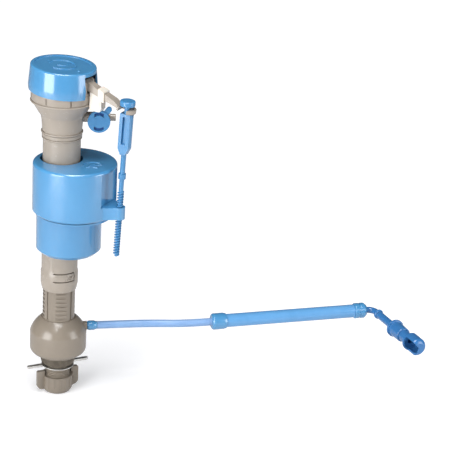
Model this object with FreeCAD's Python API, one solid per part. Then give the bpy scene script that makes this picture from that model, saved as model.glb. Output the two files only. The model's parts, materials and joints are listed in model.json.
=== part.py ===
import FreeCAD, Part
import math
import os

# Toilet fill valve: a float-cup ballcock on a height-adjustable riser, with a side tube that carries a
# cleaning jet.  Millimetres, +Z up.  The origin is the centre of the shank gasket's underside, on the
# tank floor.  +X points along the float lever, towards the adjusting rod.

Vec = FreeCAD.Vector

# ---- clearances ----
RUN_GAP = 0.08            # radial gap of a shaft that turns in a hole
SLIDE_GAP = 0.3           # gap between curved faces that only pass each other
SHELL_GAP = 0.05          # gap between pieces of one body that are glued or pressed
FACE_GAP = 0.2            # gap between flat faces that slide over each other
SCREW_GAP = 0.1           # radial gap of a plain bore over a thread's crests

# ---- threaded shank and base bowl ----
SHANK_BORE_R = 6.5
SHANK_CREST_R = 11.8
THREAD_DEPTH = 0.9
SHANK_PITCH = 1.814
SHANK_LENGTH = 28.5
BASE_R = 26.7
BASE_WALL = 2.5
BASE_UNDER_Z = 9.3        # underside of the bowl, on top of the gasket
BASE_LIP_R = 20.5
BASE_LIP_RISE = 1.4
BASE_KNEE_OUT = 4.2
BASE_KNEE_RISE = 2.9
BASE_KNEE_Z = 17.0        # where the bowl's lower curve meets its side
BASE_SPLIT_Z = 24.0       # parting line between bowl and dome
BASE_FLOOR_EXTRA = 0.7
DOME_SHOULDER_Z = 33.0
DOME_TOP_Z = 47.0
DOME_BOW_IN = 4.4         # how far the dome's curve has come in, half way up
DOME_BOW_RISE = 8.4
DOME_NECK_DEPTH = 7.0
DOME_LIP = 1.4
BEAD_R = 2.2              # small round boss at the dome's top
BEAD_DROP = 3.6
INLET_SLOT_HALF = 3.0

# ---- fixed lower tube ----
TUBE_R = 15.2
TUBE_BORE_R = 11.5
TUBE_FOOT_Z = 20.0
TUBE_TOP_Z = 150.0
TOOTH_PITCH = 4.3
TOOTH_GAP = 2.2
TOOTH_DEPTH = 1.1
TOOTH_WIDTH = 10.4
LADDER_AZIMUTH = -50.0
LADDER_COUNT = 4
KEYWAY_AZIMUTH = -12.0
KEYWAY_WIDTH = 2.0
KEYWAY_DEPTH = 0.9
RING_Z = 145.0
RING_CORD_R = 1.2
RING_GROOVE_HALF = 1.5
SCREEN_RIM_HEIGHT = 2.0
SCREEN_R = 9.4
SCREEN_WALL = 1.0
SCREEN_HEIGHT = 21.0
SCREEN_SLOTS = 12

# ---- seal, washer and nut under the tank ----
GASKET_FOOT_R = SHANK_CREST_R + 3.7
GASKET_TOP_R = GASKET_FOOT_R + 2.5
WASHER_TOP_Z = -2.3
WASHER_THICK = 1.0
WASHER_R = GASKET_FOOT_R
WASHER_EAR_REACH = 31.0
WASHER_EAR_WIDTH = 4.0
WASHER_EAR_THICK = 2.3
NUT_TOP_Z = -12.8
NUT_HEIGHT = 16.6
NUT_R = SHANK_CREST_R + 2.95
NUT_TAPER_IN = 2.6
NUT_TAPER_HEIGHT = 6.0
NUT_WING_REACH = NUT_R + 6.15
NUT_WING_THICK = 3.5
NUT_WING_CORNER = 5.0
NUT_WING_RISE = 4.8       # wing's top above the nut's top
NUT_WING_LIFT = 2.4       # wing's foot above the nut's foot
NUT_RIBS = 16
EAR_AZIMUTH = 52.0

# ---- sliding riser ----
RISER_BORE_R = TUBE_R + SLIDE_GAP
RISER_FOOT_R = RISER_BORE_R + 0.6
RISER_TOP_R = RISER_BORE_R + 1.9
RISER_LOW_R = RISER_BORE_R + 1.4
RISER_FOOT_Z = 77.0
RISER_TOP_Z = 228.5
LATCH_R = RISER_BORE_R + 2.0
LATCH_FOOT_Z = 83.0
LATCH_TOP_Z = 95.0
LATCH_SLIT = 1.0
LATCH_FINGER_Z = 88.0
LATCH_START = -79.0
LATCH_END = -6.0

# ---- valve head ----
NECK_R = RISER_TOP_R + 0.6
BOWL_R = 29.0
BOWL_WALL = 2.5
BOWL_TOP_Z = RISER_TOP_Z + 42.5
NECK_RING_HEIGHT = 2.5
NECK_RING_OUT = 0.5
NECK_TOP_Z = RISER_TOP_Z + 15.5
BOWL_FOOT_Z = RISER_TOP_Z + 19.5
BOWL_BELLY_Z = RISER_TOP_Z + 28.5
BOWL_SIDE_Z = RISER_TOP_Z + 35.5
BOWL_BELLY_IN = 3.5
DECK_Z = RISER_TOP_Z + 14.5    # floor inside the head that carries the valve seat
DECK_THICK = 2.5
SEAT_R = 8.0
SEAT_BORE_R = 5.5
SEAT_TOP_Z = RISER_TOP_Z + 29.0
SEAT_HEIGHT = 2.0
SPIGOT_LENGTH = 10.5
SPIGOT_WALL = 2.5
OUTLET_REACH = 12.5
OUTLET_HALF = 2.2
BAND_SLITS = 8            # short upright slits round the head's rim
BAND_SLIT_HALF = 0.7
BAND_FOOT_Z = RISER_TOP_Z + 33.9
BAND_DEPTH = 0.8

# ---- cap, bonnet and lever ----
CAP_RIM_R = BOWL_R + 0.2
CAP_FLARE_R = BOWL_R + 2.5
CAP_SKIRT_R = BOWL_R + 1.9
CAP_WALL = 1.5
CAP_TOP_THICK = 2.4
CAP_TOP_Z = RISER_TOP_Z + 66.5
CAP_FLARE_Z = RISER_TOP_Z + 48.5
CAP_STRAIGHT_Z = RISER_TOP_Z + 40.0
CAP_SKIRT_Z = RISER_TOP_Z + 42.7    # skirt edge on the axis
CAP_TOP_TILT = 3.3
CAP_SKIRT_TILT = 4.0
CAP_EDGE_R = 1.6
CAP_DISC_R = CAP_RIM_R - 3.2
CAP_DISC_DEPTH = 0.7
WINDOW_HALF = 10.5
WINDOW_DROP = 5.4         # window's head below the cap's top
WINDOW_SILL_Z = RISER_TOP_Z + 44.7
BONNET_TOP_Z = RISER_TOP_Z + 47.5
BONNET_SPIGOT_Z = RISER_TOP_Z + 32.5
BONNET_WELL_Z = RISER_TOP_Z + 41.5
BONNET_RIM_WALL = 2.0
PILOT_TOP_Z = RISER_TOP_Z + 49.0
PILOT_R = 2.6
PILOT_BORE_R = 0.8
DIAPHRAGM_Z = SEAT_TOP_Z + 0.7
DIAPHRAGM_THICK = 2.2
DIAPHRAGM_WEB = 0.8
PIVOT_X = BOWL_R - 5.0
PIVOT_Z = RISER_TOP_Z + 53.1
PIN_R = 1.5
POST_INNER_Y = 5.2
POST_THICK = 3.0
POST_R = 4.0
LEVER_SWING = 17.4        # degrees from rest to float up
LEVER_WIDTH = 8.4
LEVER_ROOT_HEIGHT = 7.8
LEVER_TIP_HEIGHT = 5.0
FLOAT_TRAVEL = 13.4
SEAL_R = 3.2
SEAL_THICK = 2.0
SEAL_GAP = 0.1
SADDLE_X = BOWL_R + 1.0
SADDLE_LENGTH = 12.0
SADDLE_FOOT_Z = RISER_TOP_Z + 29.5
SADDLE_WIDTH = 8.0

# ---- refill branch and its dial ----
BRANCH_AZIMUTH = 30.0
BRANCH_Z = RISER_TOP_Z + 17.5
BRANCH_R = 4.75
BRANCH_BORE_R = 2.0
BRANCH_COLLAR = 3.0
NIPPLE_R = 3.25
NIPPLE_LENGTH = 5.5
DIAL_R = 10.3
DIAL_STATION = max(BOWL_R + 4.1, NECK_R + DIAL_R + 4.0)    # spindle's distance along the branch
BRANCH_END = DIAL_STATION + 9.9
DIAL_DROP = 1.8           # spindle below the branch's axis
DIAL_BACK = 5.4
DIAL_FACE = 9.1
DIAL_TAB_REACH = 17.0
DIAL_TAB_R = 2.4
DIAL_TAB_ANGLE = 52.0
DIAL_RECESS_HALF = 4.4
SPINDLE_R = 2.2
DIAL_BOSS_R = 7.4

# ---- float ----
FLOAT_HOLE_R = RISER_TOP_R + 2.2
FLOAT_WALL = 1.8
CUP_R = 38.7
CUP_X = CUP_R - FLOAT_HOLE_R - 4.7
CUP_TOP_Z = RISER_TOP_Z - 22.8
CUP_CHAMFER = 3.0
CUP_FILLET = 2.5
LOWER_R = 30.2
LOWER_X = LOWER_R - FLOAT_HOLE_R - 1.5
LOWER_FOOT_Z = RISER_TOP_Z - 111.0
LOWER_CHAMFER = 3.3
LEDGE_Z = RISER_TOP_Z - 72.5
LEDGE_THICK = 1.2
CHANNEL_HALF = 14.2       # half width of the flat recess beside the rod
CHANNEL_DEPTH = 4.6       # from the cup's outermost line to the recess floor
CHANNEL_TOP_DROP = 2.6
LUG_FOOT_Z = RISER_TOP_Z - 69.0
LUG_TOP_Z = RISER_TOP_Z - 57.5
LUG_R = 5.3
LUG_ROOT_HALF = 14.0

# ---- adjusting rod ----
ROD_X = CUP_X + CUP_R + 13.1    # rod axis at ROD_Z
ROD_Z = RISER_TOP_Z + 35.5
ROD_LEAN = 2.7
ROD_NECK_R = 2.5
BUTTON_R = 7.0
BUTTON_FOOT_Z = RISER_TOP_Z + 39.6
BUTTON_THICK = 5.0
BUTTON_SOCKET = 3.4
SHOULDER_Z = RISER_TOP_Z + 32.5
GRIP_WIDTH = 12.4
GRIP_THICK = 7.0
GRIP_FOOT_Z = RISER_TOP_Z + 1.5
GRIP_TAPER = 8.0
GRIP_SLOT = 4.2
GRIP_WEB_HALF = 1.2
ROD_R = 2.4
ROD_COLLAR_R = 3.45
ROD_COLLAR_Z = RISER_TOP_Z - 27.5
ROD_COLLAR_HEIGHT = 5.0
THREAD_TOP_Z = RISER_TOP_Z - 42.5
THREAD_FOOT_Z = RISER_TOP_Z - 106.5
THREAD_R = 3.0
THREAD_ROOT_R = 2.3
THREAD_PITCH = 2.6

# ---- fork at the lever's outer end ----
PAD_X = ROD_X + 0.2
PAD_Z = RISER_TOP_Z + 35.75
PAD_THICK = 3.4
PAD_R = 8.0
NECK_GAP = 0.45
FORK_DEPTH = 9.0

# ---- cleaning tube ----
JET_Z = 36.0
PORT_AZIMUTH = 37.0
PORT_START = 22.0
BARB_R = 2.9
BARB_RIDGE_R = 4.6
PORT_END = 37.0
PORT_BOSS_R = 4.3
PORT_BOSS_REACH = 5.0
PORT_BORE_R = 1.6
HOSE_R = 3.7
HOSE_ROUTE = [(29.550, 22.267), (46.8, 35.266), (72.0, 53.3), (99.721, 69.271), (119.4, 86.99)]
JET_HEADING = 42.0
NEAR_COLLAR_R = 8.0
NEAR_COLLAR_LENGTH = 14.5
NEAR_COLLAR_LIP = 3.0
JET_TUBE_R = 6.5
JET_TUBE_LENGTH = 132.0
JET_TUBE_WALL = 1.6
FAR_COLLAR_R = 7.6
FAR_COLLAR_LENGTH = 12.5
FAR_GROOVE = (5.0, 5.8)   # groove that splits the far collar into two rings
FAR_GROOVE_DEPTH = 0.7
TIP_HEADING = -41.0
ELBOW_RUN = 8.0
ELBOW_END = 14.6
ELBOW_BEND_R = 8.0
ELBOW_TUBE_R = 3.1
ELBOW_RIDGE_R = 4.85
TIP_HOSE_R = 3.7
TIP_HOSE_LENGTH = 30.0
FLANGE_R = 8.75
FLANGE_THICK = 2.8
BARREL_R = 7.5
BARREL_END_R = 7.1
BARREL_LENGTH = 16.0
SOCKET_FLOOR = 3.0
NOZZLE_NECK_R = 5.75
NOZZLE_NECK_LENGTH = 12.0
NOZZLE_BORE_R = 2.5
HOOD_R = 8.7
HOOD_LENGTH = 18.5
HOOD_WALL = 1.7
HOOD_DOME = 4.5
HOOD_MOUTH = 118.0        # degrees of the hood's wall that are open
MOUTH_TURN = 12.0


# ---- drawing helpers ----

def line_up(points):
    """Edges through (a, b) points in the XZ plane.  A point marked 'via' is passed by an arc."""
    edges = []
    here = points[0]
    index = 1
    while index < len(points):
        step = points[index]
        if len(step) == 3:
            after = points[index + 1]
            ends = [Vec(p[0], 0, p[1]) for p in (here, step, after)]
            edges.append(Part.Arc(*ends).toShape())
            here = after
            index += 2
        else:
            edges.append(Part.makeLine(Vec(here[0], 0, here[1]), Vec(step[0], 0, step[1])))
            here = step
            index += 1
    return edges


def outline(points):
    """A closed face in the XZ plane."""
    edges = line_up(points + [points[0]])
    return Part.Face(Part.Wire(edges))


def turned(points):
    """A solid turned about Z from a closed (r, z) outline."""
    return outline(points).revolve(Vec(0, 0, 0), Vec(0, 0, 1), 360)


def plate(points, half_width):
    """A solid from a closed (x, z) outline, as thick as twice half_width across Y."""
    shape = outline(points).extrude(Vec(0, 2 * half_width, 0))
    return moved(shape, Vec(0, -half_width, 0))


def moved(shape, offset):
    matrix = FreeCAD.Placement(offset, FreeCAD.Rotation()).toMatrix()
    return shape.transformed(matrix, True)


def spun(shape, degrees, axis=Vec(0, 0, 1), centre=Vec(0, 0, 0)):
    turn = FreeCAD.Placement(Vec(0, 0, 0), FreeCAD.Rotation(axis, degrees), centre)
    return shape.transformed(turn.toMatrix(), True)


def aimed(shape, start, direction):
    """Carries a shape built along +Z to start, with its +Z along a direction and its +X level."""
    forward = Vec(direction).normalize()
    side = forward.cross(Vec(0, 0, 1))
    if side.Length < 0.001:
        side = Vec(1, 0, 0)
    side.normalize()
    up = forward.cross(side)
    turn = FreeCAD.Rotation(side, up, forward, "ZXY")
    return shape.transformed(FreeCAD.Placement(start, turn).toMatrix(), True)


def disc(radius, z0, z1, x=0.0, y=0.0):
    return Part.makeCylinder(radius, z1 - z0, Vec(x, y, z0))


def ring(r_out, r_in, z0, z1, x=0.0, y=0.0):
    return disc(r_out, z0, z1, x, y).cut(disc(r_in, z0 - 1, z1 + 1, x, y))


def block(x0, x1, y0, y1, z0, z1):
    return Part.makeBox(x1 - x0, y1 - y0, z1 - z0, Vec(x0, y0, z0))


def heading(degrees):
    """Unit vector in the level plane."""
    angle = math.radians(degrees)
    return Vec(math.cos(angle), math.sin(angle), 0)


def around(shape, count, start=0.0):
    """Copies of a shape set evenly round Z."""
    return [spun(shape, start + index * 360.0 / count) for index in range(count)]


def ridges(crest, root, z0, z1, pitch):
    """Outer (r, z) points of round-topped ridges from z0 up to z1."""
    count = int((z1 - z0) / pitch)
    points = [(root, z0)]
    for index in range(count):
        low = z0 + index * pitch
        points.append((root, low + 0.15 * pitch))
        points.append((crest, low + 0.45 * pitch))
        points.append((crest, low + 0.6 * pitch))
        points.append((root, low + 0.9 * pitch))
    points.append((root, z1))
    return points


def tilted_slab(z_on_axis, tilt, thick):
    """A wide slab whose lower face crosses the axis at z_on_axis and falls towards +X."""
    slab = block(-80, 80, -80, 80, 0, thick)
    return moved(spun(slab, tilt, Vec(0, 1, 0)), Vec(0, 0, z_on_axis))


# ---- base ----

def shank_base():
    """Threaded shank with its bowl.  Water comes up the bore into the lower tube."""
    outer = [(SHANK_BORE_R, -SHANK_LENGTH)]
    root_r = SHANK_CREST_R - THREAD_DEPTH
    outer += ridges(SHANK_CREST_R, root_r, -SHANK_LENGTH, -1.0, SHANK_PITCH)
    outer += [(root_r, BASE_UNDER_Z), (BASE_LIP_R, BASE_UNDER_Z)]
    outer += [(BASE_LIP_R + 0.6, BASE_UNDER_Z + BASE_LIP_RISE)]
    knee = (BASE_LIP_R + BASE_KNEE_OUT, BASE_UNDER_Z + BASE_KNEE_RISE, "via")
    outer += [knee, (BASE_R, BASE_KNEE_Z), (BASE_R, BASE_SPLIT_Z)]
    floor_z = BASE_UNDER_Z + BASE_WALL + BASE_FLOOR_EXTRA
    inner_r = BASE_R - BASE_WALL
    outer += [(inner_r, BASE_SPLIT_Z), (inner_r, BASE_KNEE_Z), (inner_r - 3.5, floor_z)]
    outer += [(TUBE_R, floor_z), (TUBE_R, TUBE_FOOT_Z), (TUBE_BORE_R, TUBE_FOOT_Z)]
    outer += [(TUBE_BORE_R, floor_z), (SHANK_BORE_R, floor_z)]
    body = turned(outer)
    window = block(0, inner_r - 1, -INLET_SLOT_HALF, INLET_SLOT_HALF, floor_z + 1, TUBE_FOOT_Z - 2)
    return body.cut(Part.makeCompound(around(window, 2, PORT_AZIMUTH)))


def base_dome():
    """Upper half of the bowl, closed round the lower tube, with the jet port in its side."""
    socket_r = TUBE_R + SHELL_GAP
    inner_r = BASE_R - BASE_WALL
    neck_z = DOME_TOP_Z - DOME_NECK_DEPTH
    bow_z = DOME_SHOULDER_Z + DOME_BOW_RISE
    points = [(inner_r, BASE_SPLIT_Z), (BASE_R, BASE_SPLIT_Z), (BASE_R, DOME_SHOULDER_Z)]
    points += [(BASE_R - DOME_BOW_IN, bow_z, "via"), (TUBE_R + DOME_LIP, DOME_TOP_Z), (socket_r, DOME_TOP_Z)]
    points += [(socket_r, neck_z), (socket_r + 2.0, neck_z)]
    points += [(inner_r - DOME_BOW_IN + 0.5, bow_z - 2.8, "via"), (inner_r, DOME_SHOULDER_Z - 1.0)]
    dome = turned(points)
    port_start = radial_point(PORT_AZIMUTH, PORT_START, JET_Z)
    port = aimed(disc(PORT_BOSS_R, 0, PORT_BOSS_REACH), port_start, heading(PORT_AZIMUTH))
    bead_centre = Vec(TUBE_R + DOME_LIP + 1.0, 0, DOME_TOP_Z - BEAD_DROP)
    bead = spun(Part.makeSphere(BEAD_R, bead_centre), PORT_AZIMUTH)
    dome = dome.fuse(port).fuse(bead)
    inside = ring(inner_r - 0.2, socket_r, BASE_SPLIT_Z, JET_Z)
    bore = aimed(disc(BARB_R + SHELL_GAP, -3, 8), port_start, heading(PORT_AZIMUTH))
    dome = dome.cut(disc(socket_r, BASE_SPLIT_Z, DOME_TOP_Z + 3))
    return dome.cut(bore).cut(inside.common(dome_cavity()))


def dome_cavity():
    """Space inside the dome that the port boss doesn't fill."""
    return disc(PORT_START - 2.0, BASE_SPLIT_Z - 1, JET_Z + 1)


def radial_point(azimuth, reach, z):
    point = heading(azimuth) * reach
    return Vec(point.x, point.y, z)


def lower_tube():
    """Tube with four ladders of notches that the riser's latch drops into."""
    groove_foot = RING_Z - RING_GROOVE_HALF
    groove_top = RING_Z + RING_GROOVE_HALF
    groove_r = RISER_BORE_R - SHELL_GAP - 2 * RING_CORD_R
    points = [(TUBE_BORE_R, TUBE_FOOT_Z), (TUBE_R, TUBE_FOOT_Z), (TUBE_R, groove_foot)]
    points += [(groove_r, groove_foot), (groove_r, groove_top)]
    points += [(TUBE_R, groove_top), (TUBE_R, TUBE_TOP_Z - 1.0)]
    points += [(TUBE_R - 1.0, TUBE_TOP_Z), (TUBE_BORE_R, TUBE_TOP_Z)]
    tube = turned(points)
    notches = []
    tooth_floor = TUBE_R - TOOTH_DEPTH
    z = DOME_TOP_Z + 2.0
    while z + TOOTH_GAP < groove_foot - 2.0:
        notch = block(tooth_floor, TUBE_R + 1, -TOOTH_WIDTH / 2, TOOTH_WIDTH / 2, z, z + TOOTH_GAP)
        notches += around(notch, LADDER_COUNT, LADDER_AZIMUTH)
        z += TOOTH_PITCH
    half = KEYWAY_WIDTH / 2
    keyway = block(TUBE_R - KEYWAY_DEPTH, TUBE_R + 1, -half, half, DOME_TOP_Z + 1, groove_foot - 2)
    notches += around(keyway, LADDER_COUNT, KEYWAY_AZIMUTH)
    return tube.cut(Part.makeCompound(notches))


def tube_o_ring():
    centre_r = RISER_BORE_R - SHELL_GAP - RING_CORD_R
    return Part.makeTorus(centre_r, RING_CORD_R, Vec(0, 0, RING_Z))


def inlet_screen():
    """Small basket strainer standing in the foot of the lower tube."""
    foot = TUBE_FOOT_Z + 1
    bore = SCREEN_R - SCREEN_WALL
    basket = ring(TUBE_BORE_R - SHELL_GAP, bore, foot, foot + SCREEN_RIM_HEIGHT)
    basket = basket.fuse(ring(SCREEN_R, bore, foot, foot + SCREEN_HEIGHT))
    basket = basket.fuse(disc(SCREEN_R, foot + SCREEN_HEIGHT - SCREEN_WALL, foot + SCREEN_HEIGHT))
    slot = block(SCREEN_R - 2.4, SCREEN_R + 1.6, -0.8, 0.8, foot + 4, foot + SCREEN_HEIGHT - 3)
    return basket.cut(Part.makeCompound(around(slot, SCREEN_SLOTS)))


def shank_gasket():
    bore = SHANK_CREST_R + SCREW_GAP
    return turned([(bore, 0), (GASKET_FOOT_R, 0), (GASKET_TOP_R, BASE_UNDER_Z), (bore, BASE_UNDER_Z)])


def ear_washer():
    """Flat washer with two long thin ears."""
    z0 = WASHER_TOP_Z - WASHER_THICK
    bore = SHANK_CREST_R + SLIDE_GAP
    ear_end = WASHER_EAR_REACH - WASHER_EAR_WIDTH / 2
    ear_top = z0 + WASHER_EAR_THICK
    strip = block(-ear_end, ear_end, -WASHER_EAR_WIDTH / 2, WASHER_EAR_WIDTH / 2, z0, ear_top)
    for side in (-1, 1):
        strip = strip.fuse(disc(WASHER_EAR_WIDTH / 2, z0, ear_top, side * ear_end))
    washer = disc(WASHER_R, z0, WASHER_TOP_Z).fuse(spun(strip, EAR_AZIMUTH))
    washer = washer.cut(disc(WASHER_R + 0.6, WASHER_TOP_Z, ear_top + 1))
    return washer.cut(disc(bore, z0 - 1, WASHER_TOP_Z + 1)).removeSplitter()


def lock_nut():
    """Ribbed nut with two wings.  Its smooth bore stands for the thread that runs on the shank."""
    foot_z = NUT_TOP_Z - NUT_HEIGHT
    bore = SHANK_CREST_R + SCREW_GAP
    points = [(bore, foot_z), (NUT_R - NUT_TAPER_IN, foot_z), (NUT_R - 0.8, foot_z + NUT_TAPER_IN)]
    points += [(NUT_R, foot_z + NUT_TAPER_HEIGHT), (NUT_R, NUT_TOP_Z), (bore, NUT_TOP_Z)]
    nut = turned(points)
    corner = NUT_WING_CORNER
    bow = corner * (1 - math.sqrt(0.5))
    root = NUT_R - 1.2
    low = foot_z + NUT_WING_LIFT
    high = NUT_TOP_Z + NUT_WING_RISE
    wing_points = [(root, low), (NUT_WING_REACH - corner, low), (NUT_WING_REACH - bow, low + bow, "via")]
    wing_points += [(NUT_WING_REACH, low + corner), (NUT_WING_REACH, high - 1.0)]
    wing_points += [(NUT_WING_REACH - 1.0, high), (root, high)]
    nut = nut.fuse(around(plate(wing_points, NUT_WING_THICK / 2), 2, EAR_AZIMUTH))
    rib = block(NUT_R - 0.5, NUT_R + 0.5, -0.7, 0.7, foot_z + NUT_TAPER_HEIGHT - 0.5, NUT_TOP_Z - 1.5)
    return nut.fuse(around(rib, NUT_RIBS, EAR_AZIMUTH + 180.0 / NUT_RIBS)).removeSplitter()


# ---- riser and valve head ----

def riser_tube():
    """Outer tube that slides on the lower tube.  A sprung finger in its foot is the height latch."""
    points = [(RISER_BORE_R, RISER_FOOT_Z), (RISER_FOOT_R, RISER_FOOT_Z)]
    points += [(RISER_FOOT_R + 0.3, RISER_FOOT_Z + 1.0), (LATCH_R, LATCH_FOOT_Z)]
    points += [(LATCH_R, LATCH_TOP_Z), (RISER_LOW_R, LATCH_TOP_Z + 1.5)]
    points += [(RISER_TOP_R, RISER_TOP_Z), (RISER_BORE_R, RISER_TOP_Z)]
    tube = turned(points)
    inner = RISER_BORE_R - 1
    outer = LATCH_R + 1
    slit_top = LATCH_TOP_Z + 1.0
    low_slit = wedge(LATCH_START, LATCH_END, LATCH_FINGER_Z, LATCH_FINGER_Z + LATCH_SLIT, inner, outer)
    high_slit = wedge(LATCH_START, LATCH_END, slit_top, slit_top + LATCH_SLIT, inner, outer)
    gap = math.degrees(LATCH_SLIT / LATCH_R)
    end_slit = wedge(LATCH_END - gap, LATCH_END, LATCH_FINGER_Z, slit_top + LATCH_SLIT, inner, outer)
    return tube.cut(low_slit.fuse([high_slit, end_slit]))


def wedge(start, end, z0, z1, r_in, r_out):
    """Part of a ring between two azimuths."""
    face = outline([(r_in, z0), (r_out, z0), (r_out, z1), (r_in, z1)])
    return spun(face.revolve(Vec(0, 0, 0), Vec(0, 0, 1), end - start), start)


def head_flank():
    """Outer (r, z) points of the head from the neck's ring up to the bowl's side."""
    ring_top = RISER_TOP_Z + NECK_RING_HEIGHT
    points = [(NECK_R + NECK_RING_OUT, RISER_TOP_Z), (NECK_R + NECK_RING_OUT, ring_top)]
    points += [(NECK_R, ring_top + 0.3), (NECK_R + 1.0, NECK_TOP_Z), (NECK_R + 1.9, BOWL_FOOT_Z)]
    return points + [(BOWL_R - BOWL_BELLY_IN, BOWL_BELLY_Z, "via"), (BOWL_R, BOWL_SIDE_Z)]


def head_body():
    """Neck and bowl of the valve head, with a spigot in the riser and a deck that carries the seat."""
    spigot_r = RISER_BORE_R - SHELL_GAP
    spigot_bore = spigot_r - SPIGOT_WALL
    bowl_bore = BOWL_R - BOWL_WALL
    deck_top = DECK_Z + DECK_THICK
    seat_foot = SEAT_TOP_Z - SEAT_HEIGHT
    duct_r = SEAT_BORE_R + 1.0
    points = [(spigot_bore, RISER_TOP_Z - SPIGOT_LENGTH), (spigot_r, RISER_TOP_Z - SPIGOT_LENGTH)]
    points += [(spigot_r, RISER_TOP_Z)] + head_flank() + [(BOWL_R, BOWL_TOP_Z), (bowl_bore, BOWL_TOP_Z)]
    points += [(bowl_bore, BONNET_SPIGOT_Z - 1.0), (bowl_bore - 2.5, BONNET_SPIGOT_Z - 4.0)]
    points += [(NECK_R - 1.5, deck_top), (SEAT_R, deck_top), (SEAT_R, seat_foot)]
    points += [(duct_r, seat_foot), (duct_r, DECK_Z), (spigot_bore, DECK_Z)]
    body = turned(points)
    groove = ring(BOWL_R + 1, BOWL_R - BAND_DEPTH, BAND_FOOT_Z, BAND_FOOT_Z + 0.8)
    slit = block(BOWL_R - BAND_DEPTH - 0.3, BOWL_R + 1, -BAND_SLIT_HALF, BAND_SLIT_HALF,
                 BAND_FOOT_Z, BOWL_TOP_Z - 1.5)
    body = body.cut(groove.fuse(around(slit, BAND_SLITS)))
    outlet = block(SEAT_R + 2, OUTLET_REACH, -OUTLET_HALF, OUTLET_HALF, DECK_Z - 1, deck_top + 1)
    return body.cut(Part.makeCompound(around(outlet, 4, 75.0)))


def seat_ring():
    """Hard ring that the diaphragm closes on."""
    return ring(SEAT_R, SEAT_BORE_R, SEAT_TOP_Z - SEAT_HEIGHT, SEAT_TOP_Z)


def dial_centre():
    return radial_point(BRANCH_AZIMUTH, DIAL_STATION, BRANCH_Z - DIAL_DROP)


def refill_valve_body():
    """Level branch that carries the refill flow, with a cross boss for the dial's spindle."""
    root = NECK_R + 0.6
    start = radial_point(BRANCH_AZIMUTH, root, BRANCH_Z)
    along = heading(BRANCH_AZIMUTH)
    across = heading(BRANCH_AZIMUTH - 90)
    length = BRANCH_END - root
    tube = aimed(disc(BRANCH_R, 0, length), start, along)
    boss = aimed(disc(DIAL_BOSS_R, -BRANCH_R - 0.8, DIAL_BACK - FACE_GAP), dial_centre(), across)
    collar = aimed(disc(DIAL_BACK - 2 * FACE_GAP, length - BRANCH_COLLAR, length), start, along)
    body = tube.fuse(boss).fuse(collar)
    bore = aimed(disc(BRANCH_BORE_R, 4, BRANCH_END), start, along)
    spindle_hole = aimed(disc(SPINDLE_R + RUN_GAP, -1.0, DIAL_BACK + 1), dial_centre(), across)
    head = turned([(0, RISER_TOP_Z)] + head_flank() + [(0, BOWL_SIDE_Z)])
    return body.cut(bore).cut(spindle_hole).cut(head).removeSplitter()


def refill_nipple():
    along = heading(BRANCH_AZIMUTH)
    tip = disc(NIPPLE_R, 0, NIPPLE_LENGTH).cut(disc(BRANCH_BORE_R, -1, NIPPLE_LENGTH + 1))
    return aimed(tip, radial_point(BRANCH_AZIMUTH, BRANCH_END, BRANCH_Z), along)


def refill_dial():
    """Flow dial: a disc with two curved recesses and a pointer tab, on a short spindle."""
    thick = DIAL_FACE - DIAL_BACK
    dial = disc(DIAL_R, 0, thick)
    tab_end = DIAL_TAB_REACH - DIAL_TAB_R
    tab = block(0, tab_end, -DIAL_TAB_R, DIAL_TAB_R, 0, thick - 1.0)
    tab = tab.fuse(disc(DIAL_TAB_R, 0, thick - 1.0, tab_end))
    dial = dial.fuse(spun(tab, DIAL_TAB_ANGLE + 180.0))
    recess = ring(DIAL_R - 1.6, DIAL_R - 4.4, thick - 1.6, thick + 1)
    span = block(-DIAL_RECESS_HALF, DIAL_RECESS_HALF, -DIAL_R, DIAL_R, 0, thick + 1)
    dial = dial.cut(recess.common(span))
    spindle = disc(SPINDLE_R, -(DIAL_BACK + 0.8), 0.5)
    dial = dial.fuse(spindle).removeSplitter()
    across = heading(BRANCH_AZIMUTH - 90)
    return aimed(dial, dial_centre() + across * DIAL_BACK, across)


# ---- cap and what turns with it ----

def cap_solid(inset, drop):
    """Cap's outline turned solid, set in by a wall, with its sloping top lowered."""
    foot = CAP_STRAIGHT_Z - 13.5
    top = CAP_TOP_Z + 6
    points = [(0, foot), (CAP_SKIRT_R - inset, foot), (CAP_SKIRT_R - inset, CAP_STRAIGHT_Z)]
    points += [(CAP_FLARE_R - inset, CAP_FLARE_Z), (CAP_RIM_R - inset, top), (0, top)]
    return turned(points).cut(tilted_slab(CAP_TOP_Z - drop, CAP_TOP_TILT, 30))


def head_cap():
    """Cap with a sloping top, a flared skirt and a window for the lever."""
    cap = cap_solid(0.0, 0.0)
    top_edges = [edge for edge in cap.Edges if edge.BoundBox.ZMin > CAP_TOP_Z - 4 and edge.Length > 100]
    cap = cap.makeFillet(CAP_EDGE_R, top_edges)
    cap = cap.cut(cap_solid(CAP_WALL, CAP_TOP_THICK))
    below = moved(spun(block(-80, 80, -80, 80, -40, 0), CAP_SKIRT_TILT, Vec(0, 1, 0)), Vec(0, 0, CAP_SKIRT_Z))
    dish = moved(spun(disc(CAP_DISC_R, -CAP_DISC_DEPTH, 5), CAP_TOP_TILT, Vec(0, 1, 0)), Vec(0, 0, CAP_TOP_Z))
    window_top = CAP_TOP_Z - WINDOW_DROP
    window = block(PIVOT_X - 9, CAP_FLARE_R + 9, -WINDOW_HALF, WINDOW_HALF, BOWL_FOOT_Z, window_top)
    return cap.cut(below).cut(dish).cut(window).removeSplitter()


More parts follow.
